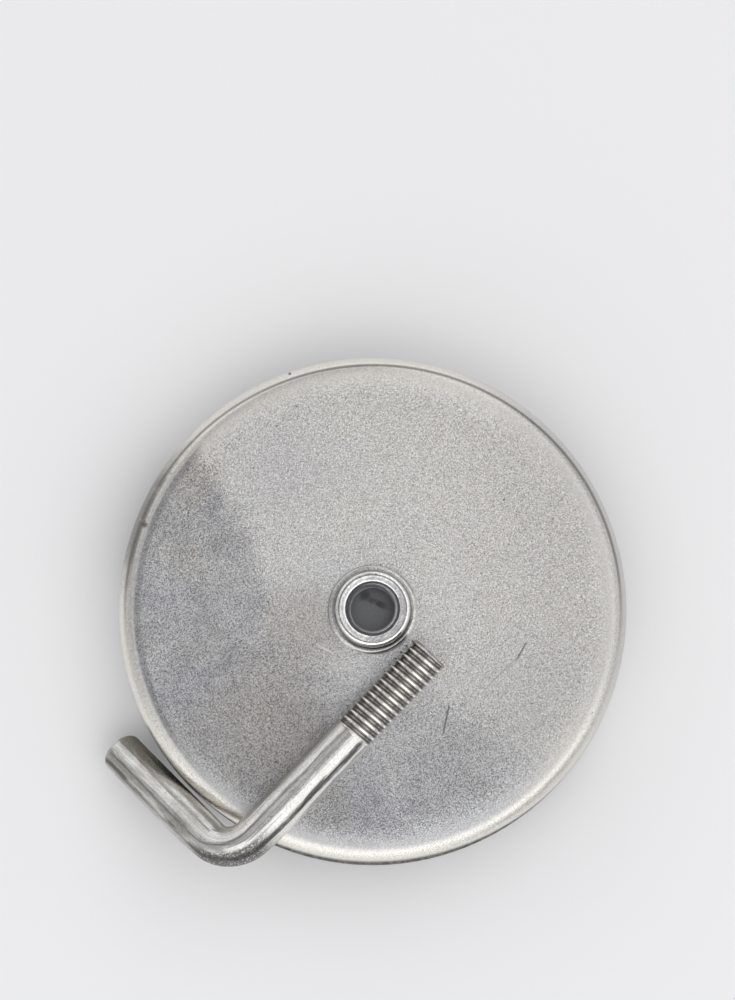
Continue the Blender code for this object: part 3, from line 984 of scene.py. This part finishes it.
def makeResinFill():
    p = resinFill
    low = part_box("bonding_resin")[0]
    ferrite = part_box("magnet")[1]
    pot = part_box("pot")[1]
    outside = pot.x - potCup["sheet"]
    ceiling = pot.z - potCup["sheet"]
    inside = ferrite.x
    middle = (inside + outside) / 2
    face = low.z + p["climb"]
    corners = [
        (p["hole"], ceiling, 0),
        (outside, ceiling, potCup["innerCorner"]),
        (outside, low.z, 0),
        ((middle + outside) / 2, face - p["climb"] * p["sag"], p["faceRound"]),
        ((middle + inside) / 2, face, p["faceRound"]),
        (inside, low.z, 0),
        (inside, ferrite.z, 0),
        (p["hole"], ferrite.z, 0),
    ]
    fill = drawOutline("resin_fill", corners)
    turnOutline(p["facets"])
    for vertex in fill.data.vertices:
        r = hypot(vertex.co.x, vertex.co.y)
        if vertex.co.z < face + p["level"] and inside + p["levelInset"] < r < outside - p["levelInset"]:
            vertex.co.z += p["level"] * (1 + waves(vertex.co, p["levelSize"], p["levelSeed"]))
    finishPiece(fill, "magnet_body", "bonding_resin", resinBlack(), p["smoothAngle"])


# Hook: drawn rod with a rolled M6 x 1 thread, bent once. It is wound straight, then laid along its path.

hookRod = dict(
    rod=5.0 * mm,
    longLeg=36.5 * mm,      # outside lengths
    shortLeg=23.9 * mm,
    bendRadius=4.0 * mm,
    legAngle=radians(89.5),
    crestRise=0.25 * mm,
    threadDepth=0.55 * mm,
    pitch=1.0 * mm,
    crestShare=0.13,        # of the pitch; the flanks fill the rest
    rootShare=0.16,
    threadLength=12.6 * mm,
    threadStart=1.5,        # pitches that are cut off the wound blank
    runOut=0.9 * mm,
    endBreak=0.5 * mm,
    tipRound=0.65 * mm,
    toBush=0.5 * mm,
    toWall=0.3 * mm,
    seat=0.3 * mm,          # kept where it rests on the pot and on the surface below
    steps=96,               # round the rod
    rows=12,                # to one pitch
    stretch=2.4,            # rows lie this much further apart on the plain rod
    spareTurns=5,
    bendFlat=0.14,          # share by which the bend's outer side is drawn in
    smoothAngle=radians(40),

    # noises that follow the rod
    streaks=(0.03, 0.22 * mm, 3.0),
    darkLines=(0.012, 0.5 * mm, 2.0),
    darkLineEdge=(0.55, 0.62),
    tarnish=(0.28, 1.5 * mm, 4.0, 0.65),
    ripples=(0.35, 0.8 * mm, 2.0),
    fineGrain=(0.2 * mm, 2.0, 0.6),
    clouds=(3 * mm, 4.0, 0.6),
    cloudEdge=(0.3, 0.75),
    scuffGrain=(0.22 * mm, 4.0, 0.75),
    scuffEdge=(0.35, 0.50),
    speckGrain=(0.2 * mm, 2.0, 0.7),
    speckEdge=(0.52, 0.62),
    # zones along the rod, from where its bend starts
    bendZone=(-3 * mm, 1 * mm, 5 * mm, 8 * mm),
    pastBend=(0, 8 * mm),
    dullZone=(4 * mm, 9 * mm),
    tipZone=(-16 * mm, -11 * mm),           # from the sum of both legs
    # zones round the rod: outer is the bend's outer side, and angles run from the rod's top towards it
    outerHalf=(-0.5 * mm, 1.8 * mm),
    innerHalf=(0.6 * mm, 1.0 * mm),
    scuffAngle=(radians(30), radians(46)),
    outerLine=(radians(67), radians(-15)),  # on the long leg, and its change past the bend
    innerLine=(radians(5), radians(16)),
    outerWidth=(radians(4), radians(10)),
    innerWidth=(radians(2), radians(6)),
    innerShare=0.55,
    wander=(radians(16), radians(26)),      # by streaks and by tarnish
    highlightSide=(radians(8), radians(12)),
    grooveEdge=(0.9, 0.08 * mm),            # of the thread's depth, and below its crest
    threadLitSide=(-1.8 * mm, 1.2 * mm),
    dullTarnish=(0.40, 0.60),
    dullInner=0.35,
    strayTarnish=(0.58, 0.75),
    strayShare=0.3,
    lineTarnish=(0.35, 0.6),
    lineClean=0.5,                          # of the outer painted reflection line, outside the tarnish
    speckTarnish=(0.4, 0.6),
    speckShares=(0.3, 0.5, 0.35),           # outside the tarnish, on the long leg, and more past the bend
    brownTarnish=(0.3, 0.5),
    streakShare=0.5,
    grainShare=1.3,
    scuffCover=0.9,
    brownCover=0.7,
    wornGrain=(0.35, 0.65),
    brownGrain=(0.3, 0.7),
    wornRoughness=0.5,
    wornSpecular=0.3,
    colours=dict(
        pale=(0.76, 0.748, 0.718),
        grey=(0.67, 0.657, 0.625),
        threadShaded=(0.56, 0.54, 0.51),
        threadLit=(0.94, 0.93, 0.90),
        scuffDark=(0.010, 0.009, 0.008),
        scuffPale=(0.11, 0.106, 0.098),
        brownDark=(0.10, 0.086, 0.064),
        brownPale=(0.19, 0.17, 0.135),
    ),
    coats=dict(
        dull=(0.65, (0.31, 0.295, 0.255)),
        darkLines=(0.25, (0.32, 0.31, 0.29)),
        # painted reflection lines, and the painted highlight beside the outer one
        paintedHighlightEdge=(0.8, (0.95, 0.94, 0.90)),
        specks=(1.0, (0.20, 0.195, 0.175)),
        paintedReflectionLines=(0.92, (0.13, 0.125, 0.115)),
        grooveShade=(0.8, (0.20, 0.185, 0.165)),
    ),
    roughness=dict(plain=0.13, clouds=0.10, grain=0.06, grooveShade=0.10, dull=0.12),
    rippleDepth=0.05 * mm,
    streakDepth=0.024 * mm,
    grainDepth=0.014 * mm,
)


def hookNickel():
    p = hookRod
    colours, coats, rough = p["colours"], p["coats"], p["roughness"]
    mix = recipe("hook_nickel")
    rod = mix.add("ShaderNodeAttribute", {"attribute_name": "straightPlace"}, {}, "Vector")
    along = mix.part(rod, "Z")
    inward = mix.part(rod, "X")
    outward = 0 - inward
    radius = mix.vector("LENGTH", mix.vector("MULTIPLY", rod, (1, 1, 0)), out="Value")
    angle = outward.maths("ARCTAN2", outward, 0 - mix.part(rod, "Y"))
    streaks = mix.drawn(*p["streaks"], place=rod)
    tarnish = mix.drawn(*p["tarnish"], place=rod)
    fine = mix.grain(*p["fineGrain"])
    cloud = mix.grain(*p["clouds"])

    # zones along the rod and round it
    thread = along.fall(p["threadLength"], p["threadLength"] + p["runOut"])
    plain = 1 - thread
    crest = p["rod"] / 2 + p["crestRise"]
    rootShare, crestGap = p["grooveEdge"]
    # painted shade in the thread's grooves
    grooveShade = radius.fall(crest - p["threadDepth"] * rootShare, crest - crestGap) * thread
    fromBend = along - (p["longLeg"] - p["rod"] / 2 - p["bendRadius"])
    past = fromBend.rise(*p["pastBend"])
    outerHalf = outward.rise(*p["outerHalf"])
    scuff = fromBend.between(*p["bendZone"]) * angle.rise(*p["scuffAngle"])
    scuff = scuff * mix.grain(*p["scuffGrain"]).rise(*p["scuffEdge"])
    dull = fromBend.rise(*p["dullZone"]) * tarnish.rise(*p["dullTarnish"])
    dull = dull * (p["dullInner"] + outerHalf * (1 - p["dullInner"]))
    dull = dull.most(plain * tarnish.rise(*p["strayTarnish"]) * p["strayShare"])
    fromLegs = along - (p["longLeg"] + p["shortLeg"])
    brown = fromLegs.rise(*p["tipZone"]) * inward.rise(*p["innerHalf"]) * tarnish.rise(*p["brownTarnish"])

    # painted dark reflection lines run along the rod, made patchy by the tarnish, with a painted highlight
    # beyond the outer one
    wander = angle + streaks.swing(p["wander"][0]) + tarnish.swing(p["wander"][1])
    outerLine = wander - (p["outerLine"][0] + past * p["outerLine"][1])
    innerLine = wander - (p["innerLine"][0] + past * p["innerLine"][1])
    patchy = p["lineClean"] + tarnish.rise(*p["lineTarnish"]) * (1 - p["lineClean"])
    outerReflectionLine = outerLine.size().fall(*p["outerWidth"]) * patchy
    paintedReflectionLines = outerReflectionLine.most(innerLine.size().fall(*p["innerWidth"]) * p["innerShare"]) * plain
    paintedHighlightEdge = outerLine.rise(*p["highlightSide"]) * plain * (1 - past)
    clean, onLong, onShort = p["speckShares"]
    specks = mix.grain(*p["speckGrain"]).rise(*p["speckEdge"])
    specks = specks * (clean + tarnish.rise(*p["speckTarnish"]) * (1 - clean)) * plain
    shares = dict(
        dull=dull,
        darkLines=mix.drawn(*p["darkLines"], place=rod).rise(*p["darkLineEdge"]) * plain,
        paintedHighlightEdge=paintedHighlightEdge,
        specks=specks * (onLong + past * outerHalf * onShort),
        paintedReflectionLines=paintedReflectionLines,
        grooveShade=grooveShade,
    )

    colour = mix.blend(cloud.rise(*p["cloudEdge"]), colours["pale"], colours["grey"])
    # painted light: the thread is painted pale towards the bend's outer side and dark on the other side
    threadPaintedLight = mix.blend(outward.rise(*p["threadLitSide"]), colours["threadShaded"], colours["threadLit"])
    colour = mix.blend(thread, colour, threadPaintedLight)
    for name, share in shares.items():
        colour = mix.lay(colour, share, coats[name])
    colour = mix.scaled(colour, 1 + streaks.swing(p["streakShare"]) * plain + fine.swing(p["grainShare"]))
    roughness = rough["plain"] + cloud.swing(rough["clouds"]) + fine.swing(rough["grain"])
    roughness = roughness + grooveShade * rough["grooveShade"] + dull * rough["dull"]
    normal = mix.bump(mix.drawn(*p["ripples"], place=rod) * plain, p["rippleDepth"])
    normal = mix.bump(streaks * plain, p["streakDepth"], normal)
    normal = mix.bump(fine, p["grainDepth"], normal)
    worn = mix.blend(fine.rise(*p["wornGrain"]), colours["scuffDark"], colours["scuffPale"])
    browned = mix.blend(fine.rise(*p["brownGrain"]), colours["brownDark"], colours["brownPale"])
    worn = mix.blend(brown, worn, browned)
    return mix.done({"Base Color": colour, "Metallic": 1.0, "Roughness": roughness, "Normal": normal},
                    (scuff * p["scuffCover"]).most(brown * p["brownCover"]),
                    {"Base Color": worn, "Roughness": p["wornRoughness"],
                     "Specular IOR Level": p["wornSpecular"]})


def hookNumbers():
    # where the rod's path runs, from the same sizes as the pot and the bush
    p = hookRod
    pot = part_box("pot")[1]
    r = p["rod"] / 2
    crest = r + p["crestRise"]
    legs = p["longLeg"] - r, p["shortLeg"] - r
    turn = pi - p["legAngle"]
    tangent = p["bendRadius"] * tan(turn / 2)
    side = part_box("threaded_bush")[1].y + p["toBush"] + crest
    cornerX = -(pot.x + p["toWall"] + r) - legs[1] * cos(p["legAngle"])
    flat = pot.x - potCup["corner"]
    edgeX = -sqrt(flat ** 2 - side ** 2)
    crestX = cornerX + legs[0] - p["threadLength"]
    slope = atan((crest - r) / (crestX - edgeX))
    cornerZ = pot.z + p["seat"] + r - (edgeX - cornerX) * tan(slope)
    reach = legs[1] * sin(p["legAngle"])
    lean = asin((cornerZ - p["seat"]) / hypot(reach, r)) - atan2(r, reach)
    place = Matrix.Translation((cornerX, -side, cornerZ)) @ Euler((-lean, -slope, 0)).to_matrix().to_4x4()
    return dict(r=r, crest=crest, legs=legs, tangent=tangent, place=place,
                straight=(legs[0] - tangent, legs[1] - tangent), arc=p["bendRadius"] * turn)


def pathAt(along, n):
    # point on the path, and the direction to the bend's inner side, in the hook's own plane
    p = hookRod
    first = n["straight"][0]
    if along <= first:
        return Vector((n["legs"][0] - along, 0, 0)), Vector((0, 1, 0))
    if along <= first + n["arc"]:
        angle = -pi / 2 - (along - first) / p["bendRadius"]
        spoke = Vector((cos(angle), sin(angle), 0))
        return Vector((n["tangent"], p["bendRadius"], 0)) + p["bendRadius"] * spoke, -spoke
    way = Vector((cos(p["legAngle"]), sin(p["legAngle"]), 0))
    left = n["tangent"] + along - first - n["arc"]
    return way * left, Vector((way.y, -way.x, 0))


def rollThread(rod, n, total, threadEnd):
    # the thread's form, its run-out and its broken end; past it the rows stretch out to the rounded tip
    p = hookRod
    pitch = p["pitch"]
    flanks = (p["crestShare"] + p["rootShare"]) / 2 - 0.5
    for vertex in rod.data.vertices:
        co = vertex.co
        angle = atan2(co.y, co.x) % (2 * pi)
        phase = (co.z / pitch - angle / (2 * pi)) % 1.0
        valley = eased((p["crestShare"] / 2 - 0.5 + abs(phase - 0.5)) / flanks)
        along = co.z - p["threadStart"] * pitch
        fade = eased((threadEnd - along) / p["runOut"])
        r = n["r"] + fade * (p["crestRise"] - p["threadDepth"] * valley)
        if along > threadEnd:
            along = threadEnd + (along - threadEnd) * p["stretch"]
        r = min(r, n["crest"] - p["endBreak"] + max(along, 0.0))
        left = total - along
        if left < p["tipRound"]:
            u = min(1.0, 1 - max(left, 0.0) / p["tipRound"])
            r -= p["tipRound"] * (1 - sqrt(1 - u * u))
        vertex.co = (r * cos(angle), r * sin(angle), along)


def layAlongPath(rod, n):
    # the straight place is kept, since the finish follows the rod
    p = hookRod
    straight = rod.data.attributes.new("straightPlace", "FLOAT_VECTOR", "POINT")
    bendMiddle = n["straight"][0] + n["arc"] / 2
    for vertex in rod.data.vertices:
        co = vertex.co.copy()
        straight.data[vertex.index].vector = co
        spot, inner = pathAt(co.z, n)
        bent = eased(1 - abs(co.z - bendMiddle) / n["arc"])
        squeeze = p["bendFlat"] * bent if co.x < 0 else 0
        offset = inner * co.x * (1 - squeeze) + Vector((0, 0, -1)) * co.y
        vertex.co = n["place"] @ (spot + offset)


def makeBentRod():
    p = hookRod
    n = hookNumbers()
    pitch = p["pitch"]
    total = sum(n["straight"]) + n["arc"]
    threadEnd = p["threadLength"] + p["runOut"]

    rod = startVertex("bent_rod", n["crest"], 0)
    for row in range(p["rows"]):
        drawOn(0, pitch / p["rows"])
    bpy.ops.object.mode_set(mode="OBJECT")
    turns = int(threadEnd / pitch + (total - threadEnd) / pitch / p["stretch"]) + p["spareTurns"]
    wind(rod, pitch, turns, p["steps"])
    rollThread(rod, n, total, threadEnd)

    bpy.ops.object.mode_set(mode="EDIT")
    cutLevel(0.0, True)
    cutLevel(total, False)
    bpy.ops.mesh.select_all(action="SELECT")
    bpy.ops.mesh.normals_make_consistent(inside=False)
    bpy.ops.object.mode_set(mode="OBJECT")
    layAlongPath(rod, n)
    finishPiece(rod, "hook_body", "hook", hookNickel(), p["smoothAngle"])


# Stage: the photograph's right and up lie turned to the part, whose long leg runs up to the right.

studio = dict(
    turn=radians(46),
    distance=0.9,
    lens=275.0,
    clip=(0.01, 20),
    centreUp=12.97 * mm,    # the picture's middle, seen from the pot's middle
    centreRight=-0.61 * mm,
    slopeUp=-0.041,         # the camera stands this much off the pot's axis
    slopeRight=0.0,
    floor=(0.94, 0.94, 0.945),
    floorRadius=3.0,
    floorGap=0.02 * mm,     # it lies this much below the contact face
    floorRoughness=0.9,
    floorSpecular=0.2,
    world=(0.46, 0.46, 0.4692),
    # right, up, height, width, depth in metres, brightness, and whether the panel faces the object
    panels=dict(
        key=(0.30, -1.25, 1.20, 2.80, 1.90, 0.70, False),
        spark=(0.30, -0.54, 1.15, 1.36, 0.88, 0.28, False),
        overRight=(1.10, 1.05, 1.60, 2.00, 2.80, 0.62, False),
        overLeft=(-0.645, 0.60, 1.60, 0.47, 0.47, 0.25, False),
        lowTop=(0.17, 1.96, 0.30, 2.00, 0.46, 0.75, True),
        lowTopLeft=(-1.23, 1.37, 0.78, 1.45, 1.24, 0.50, True),
        lowLeft=(-1.95, -0.10, 0.60, 1.50, 1.00, 0.10, True),
        lowCorner=(-1.55, -1.25, 0.62, 1.00, 0.80, 0.60, True),
        lowFront=(-0.30, -1.95, 0.60, 3.00, 1.10, 0.50, True),
        lowRight=(1.85, -0.08, 0.72, 2.10, 0.70, 0.50, True),
    ),
)


def stagePoint(right, up, height):
    turn = studio["turn"]
    rightWay = Vector((cos(turn), -sin(turn), 0))
    upWay = Vector((sin(turn), cos(turn), 0))
    return rightWay * right + upWay * up + Vector((0, 0, height))


def turnTo(thing, across, face):
    # its x runs across, and it looks away from face
    thing.rotation_euler = Matrix((across, face.cross(across), face)).transposed().to_euler()


def makeStage():
    s = studio
    putDownAll()
    bpy.ops.mesh.primitive_circle_add(vertices=96, radius=s["floorRadius"], fill_type="NGON",
                                      location=(0, 0, -s["floorGap"]))
    floor = nameNew("floor")
    mix = recipe("pale_floor")
    floor.data.materials.append(mix.done({"Base Color": (*s["floor"], 1), "Roughness": s["floorRoughness"],
                                          "Specular IOR Level": s["floorSpecular"]}))

    for name, (right, up, height, width, depth, level, tilted) in s["panels"].items():
        place = stagePoint(right, up, height)
        bpy.ops.object.light_add(type="AREA", location=place)
        lamp = bpy.context.object
        lamp.name = "panel_" + name
        lamp.data.shape = "RECTANGLE"
        lamp.data.size = width
        lamp.data.size_y = depth
        lamp.data.energy = level * width * depth * pi
        face = place.normalized() if tilted else Vector((0, 0, 1))
        turnTo(lamp, Vector((0, 0, 1)).cross(face).normalized() if tilted else stagePoint(1, 0, 0), face)

    world = bpy.data.worlds.new("soft_room")
    bpy.context.scene.world = world
    world.use_nodes = True
    world.node_tree.nodes["Background"].inputs["Color"].default_value = (*s["world"], 1)

    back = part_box("pot")[1].z
    aim = stagePoint(s["centreRight"], s["centreUp"], back)
    spot = stagePoint(s["slopeRight"] * s["distance"], s["slopeUp"] * s["distance"], s["distance"] + back)
    bpy.ops.object.camera_add(location=spot)
    camera = bpy.context.object
    camera.name = "camera"
    face = (spot - aim).normalized()
    turnTo(camera, stagePoint(0, 1, 0).cross(face).normalized(), face)
    camera.data.lens = s["lens"]
    camera.data.clip_start, camera.data.clip_end = s["clip"]
    bpy.context.scene.camera = camera
    bpy.context.scene.view_settings.view_transform = "Standard"
    print("stage set")


makePotShell()
makeTurnedBush()
makeFerriteDisc()
makeResinFill()
makeBentRod()
makeStage()
